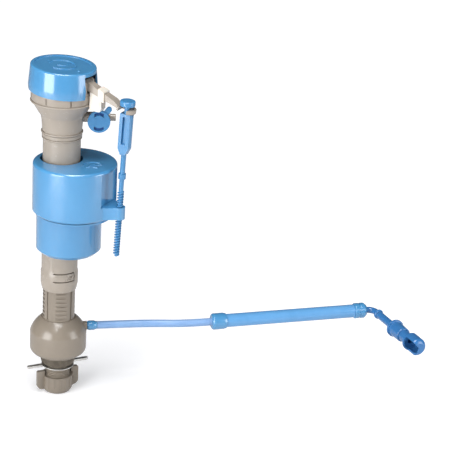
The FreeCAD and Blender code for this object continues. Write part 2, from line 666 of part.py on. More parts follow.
def bonnet():
    """Cover over the diaphragm, with the pilot orifice and the two posts that hold the lever's pin."""
    spigot_r = BOWL_R - BOWL_WALL - RUN_GAP
    spigot_in = spigot_r - 4.0
    rim_r = CAP_SKIRT_R - CAP_WALL - SHELL_GAP - 0.6
    rim_z = BOWL_TOP_Z + FACE_GAP
    hollow_z = BONNET_SPIGOT_Z + 3.0
    points = [(PILOT_BORE_R, hollow_z), (spigot_in, hollow_z), (spigot_in, BONNET_SPIGOT_Z)]
    points += [(spigot_r, BONNET_SPIGOT_Z), (spigot_r, rim_z), (rim_r, rim_z), (rim_r, BONNET_TOP_Z)]
    points += [(rim_r - BONNET_RIM_WALL, BONNET_TOP_Z), (rim_r - BONNET_RIM_WALL, WINDOW_SILL_Z - 0.2)]
    points += [(8.0, BONNET_WELL_Z), (PILOT_R + 1.2, BONNET_WELL_Z + 1.5), (PILOT_R, PILOT_TOP_Z - 1.0)]
    points += [(PILOT_R - 0.8, PILOT_TOP_Z), (PILOT_BORE_R, PILOT_TOP_Z)]
    cover = turned(points)
    cover = cover.cut(block(PIVOT_X - 4, rim_r + 10, -WINDOW_HALF, WINDOW_HALF, WINDOW_SILL_Z, PIVOT_Z + 9))
    half = POST_THICK / 2
    post_y = POST_INNER_Y + half
    for side in (-1, 1):
        post = block(PIVOT_X - POST_R, PIVOT_X + POST_R, -half, half, BONNET_WELL_Z + 1.5, PIVOT_Z)
        eye = aimed(disc(POST_R, -half, half), Vec(PIVOT_X, 0, PIVOT_Z), Vec(0, 1, 0))
        cover = cover.fuse(moved(post.fuse(eye), Vec(0, side * post_y, 0)))
    pin_hole = aimed(disc(PIN_R, -20, 20), Vec(PIVOT_X, 0, PIVOT_Z), Vec(0, 1, 0))
    return cover.cut(pin_hole).common(disc(rim_r, DECK_Z, CAP_TOP_Z)).removeSplitter()


def lever_pin():
    reach = POST_INNER_Y + POST_THICK
    return aimed(disc(PIN_R, -reach, reach), Vec(PIVOT_X, 0, PIVOT_Z), Vec(0, 1, 0))


def diaphragm():
    """Rubber disc clamped under the bonnet."""
    top = DIAPHRAGM_Z + DIAPHRAGM_THICK
    web_z = top - DIAPHRAGM_WEB
    edge_r = BOWL_R - BOWL_WALL - 4.4
    bead_z = BONNET_SPIGOT_Z + 2.9
    points = [(PILOT_BORE_R - 0.2, DIAPHRAGM_Z), (SEAT_R + 1.5, DIAPHRAGM_Z)]
    points += [(SEAT_R + 2.5, web_z), (edge_r, web_z)]
    points += [(edge_r, bead_z), (edge_r - 1.8, bead_z), (edge_r - 1.8, top), (PILOT_BORE_R - 0.2, top)]
    return turned(points)


def to_rest(shape):
    """Swings a shape drawn with the float up down to the lever's rest pose."""
    return spun(shape, LEVER_SWING, Vec(0, 1, 0), Vec(PIVOT_X, 0, PIVOT_Z))


def lever_line(x):
    """Height of the arm's centre line at rest."""
    return PIVOT_Z + (x - PIVOT_X) * (PAD_Z - PIVOT_Z) / (PAD_X - PIVOT_X)


def float_lever():
    """Rocking arm.  Its inner end carries the pilot seal and its outer end forks round the rod's neck."""
    arm_end = PAD_X - PAD_R + 1.0
    root = LEVER_ROOT_HEIGHT / 2
    tip = LEVER_TIP_HEIGHT / 2
    half_width = LEVER_WIDTH / 2
    points = [(PIVOT_X, lever_line(PIVOT_X) - root), (arm_end - 2, lever_line(arm_end - 2) - tip)]
    points += [(arm_end + 1, PAD_Z - 0.6), (arm_end + 1, PAD_Z + 2.4), (arm_end, BUTTON_FOOT_Z - 1.0)]
    points += [(arm_end - 5, lever_line(arm_end - 5) + tip), (PIVOT_X, lever_line(PIVOT_X) + root)]
    arm = plate(points, half_width)
    hub = aimed(disc(root, -half_width, half_width), Vec(PIVOT_X, 0, PIVOT_Z), Vec(0, 1, 0))
    inner_foot = PILOT_TOP_Z + SEAL_GAP + SEAL_THICK
    tail = to_rest(block(-4.5, PIVOT_X, -half_width, half_width, inner_foot, inner_foot + 4.0))
    half = PAD_THICK / 2
    pad = disc(PAD_R, -half, half)
    pad = pad.fuse(block(-PAD_R, 0, -half_width - 1.6, half_width + 1.6, -half, half))
    pad = moved(spun(pad, LEVER_SWING / 2, Vec(0, 1, 0)), Vec(PAD_X, 0, PAD_Z))
    lever = arm.fuse([hub, tail, pad])
    bore = aimed(disc(PIN_R + RUN_GAP, -LEVER_WIDTH, LEVER_WIDTH), Vec(PIVOT_X, 0, PIVOT_Z), Vec(0, 1, 0))
    return lever.cut(neck_way()).cut(bore).removeSplitter()


def neck_way():
    """Slot that clears the rod's neck with the float down and with the float up."""
    half = ROD_NECK_R + NECK_GAP
    slot = on_rod(block(-half, half, -PAD_R - 1, half, -FORK_DEPTH, FORK_DEPTH))
    return slot.fuse(to_rest(moved(slot, Vec(0, 0, FLOAT_TRAVEL))))


def pilot_seal():
    foot = PILOT_TOP_Z + SEAL_GAP
    return to_rest(disc(SEAL_R, foot, foot + SEAL_THICK))


def lever_saddle():
    """Nylon stop block that hangs under the arm and straps over it."""
    end_x = SADDLE_X + SADDLE_LENGTH
    points = [(SADDLE_X, SADDLE_FOOT_Z + 1.0), (SADDLE_X + 1.0, SADDLE_FOOT_Z), (end_x - 2, SADDLE_FOOT_Z)]
    points += [(end_x, SADDLE_FOOT_Z + 3), (end_x, lever_line(end_x) - 1)]
    points += [(SADDLE_X, lever_line(SADDLE_X) - 1)]
    body = plate(points, SADDLE_WIDTH / 2)
    x0 = end_x - 3
    x1 = end_x + 3
    strap_points = [(x0, lever_line(x0) - 6), (x1, lever_line(x1) - 5), (x1, lever_line(x1) + 4.4)]
    strap_points += [(x0, lever_line(x0) + 4.8)]
    strap = plate(strap_points, LEVER_WIDTH / 2 + SHELL_GAP + 1.2)
    return body.fuse(strap).cut(arm_space(SHELL_GAP)).removeSplitter()


def arm_space(gap):
    """The arm's own solid with a gap round it."""
    arm_end = PAD_X - PAD_R + 1.0
    root = LEVER_ROOT_HEIGHT / 2 + gap
    tip = LEVER_TIP_HEIGHT / 2 + gap
    points = [(PIVOT_X, lever_line(PIVOT_X) - root), (arm_end, lever_line(arm_end) - tip)]
    points += [(arm_end, lever_line(arm_end) + tip), (PIVOT_X, lever_line(PIVOT_X) + root)]
    return plate(points, LEVER_WIDTH / 2 + gap)


# ---- adjusting rod and float ----

def along_rod(z):
    """Distance along the rod's axis of a level z, from the point ROD_Z."""
    return (z - ROD_Z) / math.cos(math.radians(ROD_LEAN))


def on_rod(shape):
    """Carries a shape drawn about Z, with zero at ROD_Z, on to the leaning axis."""
    turn = spun(shape, ROD_LEAN, Vec(0, 1, 0))
    return moved(turn, Vec(ROD_X, 0, ROD_Z))


def rod_button():
    """Button on the rod's upper end, above the lever's fork."""
    foot = along_rod(BUTTON_FOOT_Z)
    top = foot + BUTTON_THICK
    bore = ROD_NECK_R + RUN_GAP
    points = [(0, top), (BUTTON_R - 1.2, top), (BUTTON_R - 0.35, top - 0.35, "via"), (BUTTON_R, top - 1.2)]
    points += [(BUTTON_R, foot + 0.5), (BUTTON_R - 0.5, foot), (bore, foot)]
    points += [(bore, foot + BUTTON_SOCKET), (0, foot + BUTTON_SOCKET)]
    return on_rod(turned(points))


def adjusting_rod():
    """Rod that hangs from the lever.  Turning it walks the float's lug along the thread at its foot."""
    top = along_rod(BUTTON_FOOT_Z) + BUTTON_SOCKET - FACE_GAP
    shoulder = along_rod(SHOULDER_Z)
    grip_foot = along_rod(GRIP_FOOT_Z)
    collar = along_rod(ROD_COLLAR_Z)
    taper_foot = grip_foot - GRIP_TAPER
    neck = disc(ROD_NECK_R, shoulder - 1, top)
    half = GRIP_WIDTH / 2
    points = [(-half, grip_foot), (-ROD_R, taper_foot), (ROD_R, taper_foot), (half, grip_foot)]
    points += [(half, shoulder - 1.2), (half - 1.2, shoulder)]
    points += [(-half + 1.2, shoulder), (-half, shoulder - 1.2)]
    grip = plate(points, GRIP_THICK / 2)
    slot = block(-GRIP_SLOT / 2, GRIP_SLOT / 2, GRIP_WEB_HALF, GRIP_THICK, grip_foot + 2, shoulder - 3)
    grip = grip.cut(slot).cut(spun(slot, 180))
    grip = grip.common(disc(half, taper_foot - 1, shoulder + 1))
    thread_foot = along_rod(THREAD_FOOT_Z)
    thread_top = along_rod(THREAD_TOP_Z)
    low = collar - ROD_COLLAR_HEIGHT / 2
    high = collar + ROD_COLLAR_HEIGHT / 2
    stem_r = ROD_R - 0.2
    outer = [(0, thread_foot)] + ridges(THREAD_R, THREAD_ROOT_R, thread_foot, thread_top, THREAD_PITCH)
    outer += [(stem_r, thread_top + 1), (stem_r, low), (ROD_COLLAR_R, low)]
    outer += [(ROD_COLLAR_R, high), (ROD_R, high)]
    outer += [(ROD_R, grip_foot + 1), (0, grip_foot + 1)]
    return on_rod(neck.fuse([grip, turned(outer)]).removeSplitter())


def rod_space(radius):
    """Cylinder on the rod's axis, to bore the lug."""
    return on_rod(disc(radius, along_rod(LUG_FOOT_Z) - 20, along_rod(LUG_TOP_Z) + 20))


def cup_outline(radius, x, z0, z1, foot, crown):
    """Turned solid about a vertical axis at x, with a bevelled foot and a rounded crown."""
    bow = crown * (1 - math.sqrt(0.5))
    points = [(0, z0), (radius - foot, z0), (radius, z0 + foot), (radius, z1 - crown)]
    points += [(radius - bow, z1 - bow, "via"), (radius - crown, z1), (0, z1)]
    return moved(turned(points), Vec(x, 0, 0))


def float_cup():
    """Upper float shell, open below, with the guide tube round the riser and the lug for the rod."""
    shell = cup_outline(CUP_R, CUP_X, LEDGE_Z + 0.6, CUP_TOP_Z, CUP_CHAMFER, CUP_FILLET)
    lug = lug_block()
    floor_x = CUP_X + CUP_R - CHANNEL_DEPTH
    channel_top = CUP_TOP_Z - CHANNEL_TOP_DROP
    channel = block(floor_x, CUP_X + CUP_R + 5, -CHANNEL_HALF, CHANNEL_HALF, LUG_TOP_Z, channel_top)
    shell = shell.cut(channel)
    hollow = disc(CUP_R - FLOAT_WALL, LEDGE_Z + 0.6, CUP_TOP_Z - FLOAT_WALL, CUP_X)
    half = CHANNEL_HALF + FLOAT_WALL
    behind = block(floor_x - FLOAT_WALL, CUP_X + CUP_R, -half, half, LEDGE_Z, CUP_TOP_Z)
    hollow = hollow.cut(behind)
    core = disc(FLOAT_HOLE_R + FLOAT_WALL, LEDGE_Z - 1, CUP_TOP_Z + 1)
    shell = shell.cut(hollow.cut(core))
    shell = shell.fuse(lug).cut(disc(FLOAT_HOLE_R, LEDGE_Z - 2, CUP_TOP_Z + 1))
    return shell.cut(rod_space(THREAD_R + RUN_GAP)).removeSplitter()


def lug_block():
    """Wedge-shaped lug from the cup's wall out to the boss on the rod."""
    lug_x = rod_x((LUG_FOOT_Z + LUG_TOP_Z) / 2)
    wall_x = CUP_X + CUP_R - CHANNEL_DEPTH
    corners = [Vec(wall_x, -LUG_ROOT_HALF, LUG_FOOT_Z), Vec(lug_x, -LUG_R, LUG_FOOT_Z)]
    corners += [Vec(lug_x, LUG_R, LUG_FOOT_Z), Vec(wall_x, LUG_ROOT_HALF, LUG_FOOT_Z)]
    web = Part.Face(Part.makePolygon(corners + corners[:1])).extrude(Vec(0, 0, LUG_TOP_Z - LUG_FOOT_Z))
    return web.fuse(disc(LUG_R, LUG_FOOT_Z, LUG_TOP_Z, lug_x))


def rod_x(z):
    return ROD_X + (z - ROD_Z) * math.tan(math.radians(ROD_LEAN))


def float_base():
    """Lower float shell, a smaller cup with a ledge that closes the upper one."""
    body = cup_outline(LOWER_R, LOWER_X, LOWER_FOOT_Z, LEDGE_Z, LOWER_CHAMFER, 0.01)
    hollow = disc(LOWER_R - FLOAT_WALL, LOWER_FOOT_Z + FLOAT_WALL, LEDGE_Z + 1, LOWER_X)
    core = disc(FLOAT_HOLE_R + FLOAT_WALL, LOWER_FOOT_Z, LEDGE_Z + 2)
    ledge = disc(CUP_R - CUP_CHAMFER - 0.2, LEDGE_Z - LEDGE_THICK, LEDGE_Z + 0.6, CUP_X)
    opening = disc(LOWER_R - FLOAT_WALL, LEDGE_Z - 3, LEDGE_Z + 2, LOWER_X)
    ledge = ledge.cut(opening)
    body = body.cut(hollow.cut(core)).fuse(ledge)
    wall = ring(FLOAT_HOLE_R + FLOAT_WALL, FLOAT_HOLE_R, LOWER_FOOT_Z, LEDGE_Z + 0.6)
    body = body.fuse(wall.common(disc(CUP_R, LOWER_FOOT_Z, LEDGE_Z + 0.6, CUP_X)))
    return body.cut(disc(FLOAT_HOLE_R, LOWER_FOOT_Z - 1, LEDGE_Z + 3)).removeSplitter()


# ---- cleaning tube ----

JET_WAY = heading(JET_HEADING)
TIP_WAY = heading(TIP_HEADING)


def jet_point(distance):
    """Point on the jet tube's axis, measured from the near collar's outer end."""
    return Vec(*HOSE_ROUTE[-1], JET_Z) + JET_WAY * distance


def hose_nipple():
    """Barbed spigot pressed into the base's port."""
    reach = PORT_END - PORT_START
    ridge = PORT_BOSS_REACH + 0.4
    points = [(0, -2), (BARB_R, -2), (BARB_R, ridge)]
    points += [(BARB_RIDGE_R - 0.6, ridge), (BARB_RIDGE_R, ridge + 2.0)]
    points += [(BARB_RIDGE_R, ridge + 6.4), (HOSE_R, ridge + 8.6), (HOSE_R, reach), (0, reach)]
    spigot = turned(points).cut(disc(PORT_BORE_R, -5, reach + 5))
    return aimed(spigot, radial_point(PORT_AZIMUTH, PORT_START, JET_Z), heading(PORT_AZIMUTH))


def routed_wire(route, z):
    """Straight runs joined by tangent arcs, each as large as its two runs allow."""
    points = [Vec(x, y, z) for x, y in route]
    edges = []
    here = points[0]
    for before, corner, after in zip(points, points[1:], points[2:]):
        back = before - corner
        ahead = after - corner
        setback = 0.45 * min(back.Length, ahead.Length)
        turn = math.pi - back.getAngle(ahead)
        arc_start = corner + back.normalize() * setback
        arc_end = corner + ahead.normalize() * setback
        radius = setback / math.tan(turn / 2)
        inward = (back + ahead).normalize()
        middle = corner + inward * (math.hypot(setback, radius) - radius)
        edges.append(Part.makeLine(here, arc_start))
        edges.append(Part.Arc(arc_start, middle, arc_end).toShape())
        here = arc_end
        print("bend radius", round(radius, 1))
    edges.append(Part.makeLine(here, points[-1]))
    return Part.Wire(edges)


def cleaning_hose():
    wire = routed_wire(HOSE_ROUTE, JET_Z)
    first = Vec(*HOSE_ROUTE[0], JET_Z)
    way = Vec(*HOSE_ROUTE[1], JET_Z) - first
    circle = Part.Wire(Part.makeCircle(HOSE_R, first, way))
    hose = wire.makePipeShell([circle], True, False)
    plain_volume = math.pi * HOSE_R ** 2 * wire.Length
    print("hose length", round(wire.Length, 1), "volume check", round(hose.Volume / plain_volume, 4))
    return hose


def jet_collar_near():
    """Sleeve that joins the hose to the jet tube."""
    lip_start = NEAR_COLLAR_LENGTH - NEAR_COLLAR_LIP
    points = [(0, 0), (NEAR_COLLAR_R - 1.5, 0), (NEAR_COLLAR_R, 1.5), (NEAR_COLLAR_R, lip_start)]
    points += [(NEAR_COLLAR_R - 0.6, NEAR_COLLAR_LENGTH), (0, NEAR_COLLAR_LENGTH)]
    return aimed(turned(points), jet_point(0), JET_WAY)


def jet_tube():
    tube = ring(JET_TUBE_R, JET_TUBE_R - JET_TUBE_WALL, 0, JET_TUBE_LENGTH)
    return aimed(tube, jet_point(NEAR_COLLAR_LENGTH), JET_WAY)


def jet_collar_far():
    start = NEAR_COLLAR_LENGTH + JET_TUBE_LENGTH
    low, high = FAR_GROOVE
    groove_r = FAR_COLLAR_R - FAR_GROOVE_DEPTH
    points = [(0, 0), (FAR_COLLAR_R - 0.6, 0), (FAR_COLLAR_R, 0.6), (FAR_COLLAR_R, low - 0.4)]
    points += [(groove_r, low), (groove_r, high), (FAR_COLLAR_R, high + 0.4)]
    points += [(FAR_COLLAR_R, FAR_COLLAR_LENGTH - 2.5)]
    points += [(FAR_COLLAR_R - 2.0, FAR_COLLAR_LENGTH), (0, FAR_COLLAR_LENGTH)]
    return aimed(turned(points), jet_point(start), JET_WAY)


def elbow_corner():
    return jet_point(NEAR_COLLAR_LENGTH + JET_TUBE_LENGTH + FAR_COLLAR_LENGTH + ELBOW_RUN)


def tip_point(distance):
    """Point on the nozzle's axis, measured from the elbow's corner."""
    return elbow_corner() + TIP_WAY * distance


def elbow_barb():
    """Tight elbow with a ridge that the tip hose is pushed over."""
    start = elbow_corner() - JET_WAY * ELBOW_RUN
    turn = math.radians(JET_HEADING - TIP_HEADING)
    setback = ELBOW_BEND_R * math.tan(turn / 2)
    arc_start = elbow_corner() - JET_WAY * setback
    arc_end = tip_point(setback)
    inward = (TIP_WAY - JET_WAY).normalize()
    middle = elbow_corner() + inward * (math.hypot(setback, ELBOW_BEND_R) - ELBOW_BEND_R)
    end = tip_point(ELBOW_END)
    edges = [Part.makeLine(start, arc_start), Part.Arc(arc_start, middle, arc_end).toShape()]
    edges.append(Part.makeLine(arc_end, end))
    circle = Part.Wire(Part.makeCircle(ELBOW_TUBE_R, start, JET_WAY))
    bend = Part.Wire(edges).makePipeShell([circle], True, False)
    ridge = turned([(0, 0), (ELBOW_TUBE_R, 0), (ELBOW_RIDGE_R, 0.8), (ELBOW_RIDGE_R, 2.4),
                    (TIP_HOSE_R, 3.4), (TIP_HOSE_R, 4.2), (0, 4.2)])
    return bend.fuse(aimed(ridge, tip_point(ELBOW_END - 4.2), TIP_WAY))


def tip_hose():
    hose = disc(TIP_HOSE_R, 0, TIP_HOSE_LENGTH)
    return aimed(hose, tip_point(ELBOW_END), TIP_WAY)


def nozzle_coupling():
    """Flanged socket that the nozzle turns in."""
    socket_r = NOZZLE_NECK_R + RUN_GAP
    points = [(0, 0), (FLANGE_R - 0.5, 0), (FLANGE_R, 0.5)]
    points += [(FLANGE_R, FLANGE_THICK), (BARREL_R, FLANGE_THICK)]
    barrel_end = FLANGE_THICK + BARREL_LENGTH
    points += [(BARREL_END_R, barrel_end - 0.8), (BARREL_END_R - 0.6, barrel_end)]
    floor = FLANGE_THICK + SOCKET_FLOOR
    points += [(socket_r, barrel_end), (socket_r, floor), (0, floor)]
    return aimed(turned(points), tip_point(ELBOW_END + TIP_HOSE_LENGTH), TIP_WAY)


def jet_nozzle():
    """Nozzle with a scoop-shaped hood that turns the spray to one side."""
    sunk = BARREL_LENGTH - SOCKET_FLOOR - 0.5
    start = ELBOW_END + TIP_HOSE_LENGTH + FLANGE_THICK + BARREL_LENGTH
    neck_end = NOZZLE_NECK_LENGTH
    hood_end = neck_end + HOOD_LENGTH
    bow = HOOD_DOME * (1 - math.sqrt(0.5))
    inner = HOOD_R - HOOD_WALL
    inner_end = hood_end - HOOD_WALL
    points = [(NOZZLE_BORE_R, -sunk), (NOZZLE_NECK_R, -sunk), (NOZZLE_NECK_R, neck_end - 3.0)]
    points += [(HOOD_R - 0.8, neck_end), (HOOD_R, neck_end + 1.2), (HOOD_R, hood_end - HOOD_DOME)]
    points += [(HOOD_R - bow, hood_end - bow, "via"), (HOOD_R - HOOD_DOME, hood_end), (0, hood_end)]
    points += [(0, inner_end), (HOOD_R - HOOD_DOME, inner_end), (inner - bow, inner_end - bow, "via")]
    points += [(inner, inner_end - HOOD_DOME), (inner, neck_end + 2.0), (NOZZLE_BORE_R, neck_end + 1.0)]
    nozzle = turned(points)
    mouth = wedge(-HOOD_MOUTH / 2, HOOD_MOUTH / 2, neck_end + 3.4, hood_end + 1, 0, HOOD_R + 1)
    throat = block(-1.5, HOOD_R, -inner * 0.75, inner * 0.75, neck_end + 4.5, hood_end - 1.0)
    nozzle = nozzle.cut(spun(mouth, MOUTH_TURN)).cut(spun(throat, MOUTH_TURN))
    return aimed(nozzle, tip_point(start), TIP_WAY)


# ---- one file for each piece ----

PIECES = [
    shank_base, base_dome, lower_tube, tube_o_ring, inlet_screen, shank_gasket, ear_washer, lock_nut,
    riser_tube, head_body, seat_ring, refill_valve_body, refill_nipple, refill_dial,
    head_cap, bonnet, lever_pin, diaphragm, float_lever, pilot_seal, lever_saddle,
    rod_button, adjusting_rod, float_cup, float_base,
    hose_nipple, cleaning_hose, jet_collar_near, jet_tube, jet_collar_far, elbow_barb, tip_hose,
    nozzle_coupling, jet_nozzle,
]

os.makedirs("parts", exist_ok=True)
for piece in PIECES:
    name = piece.__name__
    shape = piece()
    print(name, len(shape.Solids), shape.isValid(), round(shape.Volume))
    shape.exportStep("parts/" + name + ".step")
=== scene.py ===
import json
import math

import bmesh
import bpy
from mathutils import Matrix, Vector

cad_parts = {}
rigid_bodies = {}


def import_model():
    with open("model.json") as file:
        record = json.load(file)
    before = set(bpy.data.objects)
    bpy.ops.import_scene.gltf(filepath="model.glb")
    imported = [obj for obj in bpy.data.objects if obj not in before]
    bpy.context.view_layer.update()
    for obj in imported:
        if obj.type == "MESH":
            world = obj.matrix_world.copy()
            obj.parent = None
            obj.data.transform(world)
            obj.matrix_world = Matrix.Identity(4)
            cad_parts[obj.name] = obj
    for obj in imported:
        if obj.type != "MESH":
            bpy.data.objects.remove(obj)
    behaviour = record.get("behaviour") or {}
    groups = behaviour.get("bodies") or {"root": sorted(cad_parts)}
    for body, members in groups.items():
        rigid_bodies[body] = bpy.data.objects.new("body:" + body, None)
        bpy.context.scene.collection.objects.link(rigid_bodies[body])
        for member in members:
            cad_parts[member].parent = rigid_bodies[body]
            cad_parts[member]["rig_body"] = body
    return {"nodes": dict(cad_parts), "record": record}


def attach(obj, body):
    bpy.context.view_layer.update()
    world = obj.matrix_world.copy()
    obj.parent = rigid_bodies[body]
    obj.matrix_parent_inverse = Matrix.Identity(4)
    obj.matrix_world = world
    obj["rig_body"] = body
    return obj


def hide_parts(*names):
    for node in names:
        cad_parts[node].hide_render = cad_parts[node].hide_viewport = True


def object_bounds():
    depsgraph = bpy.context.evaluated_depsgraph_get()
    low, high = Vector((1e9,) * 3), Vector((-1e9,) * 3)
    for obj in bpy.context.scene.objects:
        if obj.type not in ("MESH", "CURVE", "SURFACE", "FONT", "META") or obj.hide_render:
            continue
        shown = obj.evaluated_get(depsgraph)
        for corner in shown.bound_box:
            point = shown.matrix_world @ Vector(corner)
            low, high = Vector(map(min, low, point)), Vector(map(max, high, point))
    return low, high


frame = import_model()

# Looks of a toilet fill valve: glossy sky-blue cap, float and cleaning tube on a taupe riser.
# Metres, +Z up, +X along the float lever.

MM = 0.001
NODES = frame["nodes"]
CAD_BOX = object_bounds()

# ---- view ----
VIEW_AZIMUTH = math.radians(24.4)
VIEW_ELEVATION = math.radians(21.5)
VIEW_ROLL = math.radians(3.17)
VIEW_DISTANCE = 1.669
VIEW_AIM_REACH = 0.1528
VIEW_AIM_HEIGHT = 0.14875
LENS_MM = 144.0
SENSOR_MM = 36.0

# ---- surfaces ----
BLUE_MID = "#4a8fc0"
BLUE_PALE = "#4d92c3"
BLUE_DEEP = "#468bbc"
NOZZLE_BLUE = "#3873ad"
NOZZLE_PALE = "#3d78b2"
TUBE_BLUE = "#5f9bce"
TUBE_PALE = "#649fd2"
HOSE_BLUE = "#86a9d3"
HOSE_DEEP = "#7ca0cd"
# Taupe is a darker copy of the beige ABS, painted shade for the base, lower tube and nut; beige is the lit
# copy, painted light for the riser and head.
TAUPE_MID = "#897f72"
TAUPE_PALE = "#8d8376"
BEIGE_MID = "#a3998d"
BEIGE_PALE = "#a79d91"
NYLON_MID = "#ddd6cb"
NYLON_PALE = "#e4ddd3"
RUBBER_BLACK = "#17171a"
GASKET_BROWN = "#4f473c"
GASKET_DUST = "#6a6152"
ZINC = "#e6e5e1"
ZINC_DULL = "#cbc9c3"
STEEL = "#c3c4c6"
FLOOR_WHITE = "#dddddf"

# ---- light: name, azimuth, elevation, distance, size, watts ----
LAMPS = [
    ("left_window", -18, 8, 0.9, (0.56, 0.62), 7.2),
    ("right_window", 96, 6, 0.9, (0.42, 0.62), 3.4),
    ("front_window", 16, 52, 1.2, (0.22, 0.34), 2.2),
    ("overhead", 24, 78, 1.2, (0.6, 0.6), 11.5),
]
LAMP_AIM = (0.03, 0.0, 0.17)
FRONT_WAY = (0.41, -0.91, 0.0)
FLOOR_HALF = 8.0
FLOOR_DROP = 0.5 * MM
STRAIGHT_SKY = 0.9

# ---- rounded rings: name, radius, thickness, level, body ----
BEADS = [
    ("neck_lower_bead", 17.6, 0.8, 226.6, "riser"),
    ("neck_upper_bead", 18.4, 0.9, 232.4, "riser"),
    ("head_band_bead", 28.7, 0.85, 261.8, "riser"),
    ("bowl_foot_bead", 20.6, 0.8, 10.6, "base"),
]

# ---- marks and threads ----
WELD_GAP = 0.002 * MM
FLAT_ANGLE = math.radians(0.6)
MARK_SINK = 0.3 * MM
DIAL_FACE = (32.35 * MM, 10.1 * MM, 244.2 * MM)
RECESS_R = 7.3
RECESS_WIDTH = 2.2
LATCH_FACE_R = 17.5 * MM
LATCH_MIDDLE_Z = 92.5 * MM
LATCH_RIBS = (-34.0, -29.0, -24.0, -19.0)
LATCH_RIB_SIZE = (1.2 * MM, 0.75 * MM, 5.6 * MM)
LATCH_RIB_TILT = -28.0
CAP_DISH_Z = 294.3 * MM
CAP_TILT = math.radians(3.3)
FLOAT_TOP_Z = 205.7
THREAD_TOP_Z = 186.0
THREAD_FOOT_Z = 122.0
THREAD_R = 3.05 * MM
THREAD_ROOT_R = 1.75 * MM
THREAD_PITCH = 2.6 * MM
THREAD_STEPS = 18

# ---- cleaning hose ----
HOSE_R = 3.7 * MM
JET_Z = 36.0 * MM
HOSE_ROUTE = [(29.550, 22.267), (46.8, 35.266), (72.0, 53.3), (99.721, 69.271), (119.4, 86.99)]


# ---- colour and nodes ----

def srgb(code):
    """Linear colour from an sRGB hex value."""
    parts = [int(code[i:i + 2], 16) / 255 for i in (1, 3, 5)]
    linear = [p / 12.92 if p <= 0.04045 else ((p + 0.055) / 1.055) ** 2.4 for p in parts]
    return (*linear, 1.0)


def add(tree, kind, links=None, **settings):
    """Adds a node, sets its properties, and sets or links its inputs."""
    item = tree.nodes.new(kind)
    for name, value in settings.items():
        setattr(item, name, value)
    for socket, value in (links or {}).items():
        if isinstance(value, bpy.types.NodeSocket):
            tree.links.new(value, item.inputs[socket])
        else:
            item.inputs[socket].default_value = value
    return item


def blank(name):
    """A material with an empty tree, its output and Object coordinates."""
    material = bpy.data.materials.new(name)
    material.use_nodes = True
    tree = material.node_tree
    tree.nodes.clear()
    output = add(tree, "ShaderNodeOutputMaterial")
    place = add(tree, "ShaderNodeTexCoord").outputs["Object"]
    return material, tree, output, place


def per_mm(size_mm):
    """Texture scale that gives features of this size, for coordinates in metres."""
    return 1.0 / (size_mm * MM)


def ramp(tree, factor, stops):
    """Colour ramp with (position, colour) stops."""
    item = add(tree, "ShaderNodeValToRGB", {"Fac": factor})
    elements = item.color_ramp.elements
    elements[0].position, elements[0].color = stops[0]
    elements[1].position, elements[1].color = stops[-1]
    for position, colour in stops[1:-1]:
        element = elements.new(position)
        element.color = colour
    return item.outputs["Color"]


def noise(tree, place, size_mm, detail, roughness=0.5, distortion=0.0):
    """Noise with features of this size."""
    return add(tree, "ShaderNodeTexNoise", {
        "Vector": place, "Scale": per_mm(size_mm), "Detail": detail, "Roughness": roughness,
        "Distortion": distortion})


def bumped(tree, height, strength, depth_mm):
    """Normal of a surface raised by a texture."""
    item = add(tree, "ShaderNodeBump", {"Height": height, "Strength": strength, "Distance": depth_mm * MM})
    return item.outputs["Normal"]


def moulded(name, deep, mid, pale, rough, grain_mm, grain_depth, shine=0.5, scatter=0.0, coat=0.0):
    """Injection-moulded thermoplastic: slow colour drift, faint flow streaks, and a fine die texture."""
    material, tree, output, place = blank(name)
    drift = noise(tree, place, 26.0, 3.0, 0.55)
    squeezed = add(tree, "ShaderNodeMapping", {"Vector": place, "Scale": (1.0, 1.0, 0.22)})
    flow = noise(tree, squeezed.outputs["Vector"], 9.0, 4.0, 0.6, 0.4)
    blend = add(tree, "ShaderNodeMix", {"Factor": 0.35, "A": drift.outputs["Fac"], "B": flow.outputs["Fac"]})
    colour = ramp(tree, blend.outputs["Result"], [(0.3, srgb(deep)), (0.5, srgb(mid)), (0.72, srgb(pale))])
    scuff = noise(tree, place, 3.2, 6.0, 0.7)
    gloss = add(tree, "ShaderNodeMapRange", {"Value": scuff.outputs["Fac"], "From Min": 0.3, "From Max": 0.75,
                                             "To Min": rough - 0.02, "To Max": rough + 0.04})
    peel = noise(tree, place, grain_mm, 2.0)
    shader = add(tree, "ShaderNodeBsdfPrincipled", {
        "Base Color": colour, "Roughness": gloss.outputs["Result"],
        "Normal": bumped(tree, peel.outputs["Fac"], 0.2, grain_depth), "IOR": 1.49,
        "Specular IOR Level": shine, "Subsurface Weight": scatter, "Subsurface Scale": 1.2 * MM,
        "Subsurface Radius": (0.6, 0.8, 1.0), "Coat Weight": coat, "Coat Roughness": 0.11, "Coat IOR": 1.5})
    tree.links.new(shader.outputs["BSDF"], output.inputs["Surface"])
    return material


def gloss_blue_polypropylene():
    """Gloss-moulded polypropylene: clean highlights and a soft depth of colour."""
    return moulded("gloss_blue_polypropylene",
                   BLUE_DEEP, BLUE_MID, BLUE_PALE, 0.19, 0.9, 0.006, 0.8, 0.05, 0.75)


def deep_blue_polypropylene():
    """The darker blue of the elbow and the jet's nozzle."""
    return moulded("deep_blue_polypropylene",
                   "#336da6", NOZZLE_BLUE, NOZZLE_PALE, 0.18, 0.9, 0.006, 0.55, 0.04, 0.2)


def drawn_blue_tube():
    """Rigid extruded tube, paler than the mouldings, with a clean gloss."""
    return moulded("drawn_blue_tube", "#5a96c9", TUBE_BLUE, TUBE_PALE, 0.12, 1.2, 0.004, 0.6, 0.05, 0.4)


def satin_blue_acetal():
    """Moulded acetal of the rod and dial: a little deeper and duller than the float."""
    return moulded("satin_blue_acetal", "#3f80b2", "#4384b6", "#4788ba", 0.2, 0.6, 0.008, 0.6, 0.05, 0.3)


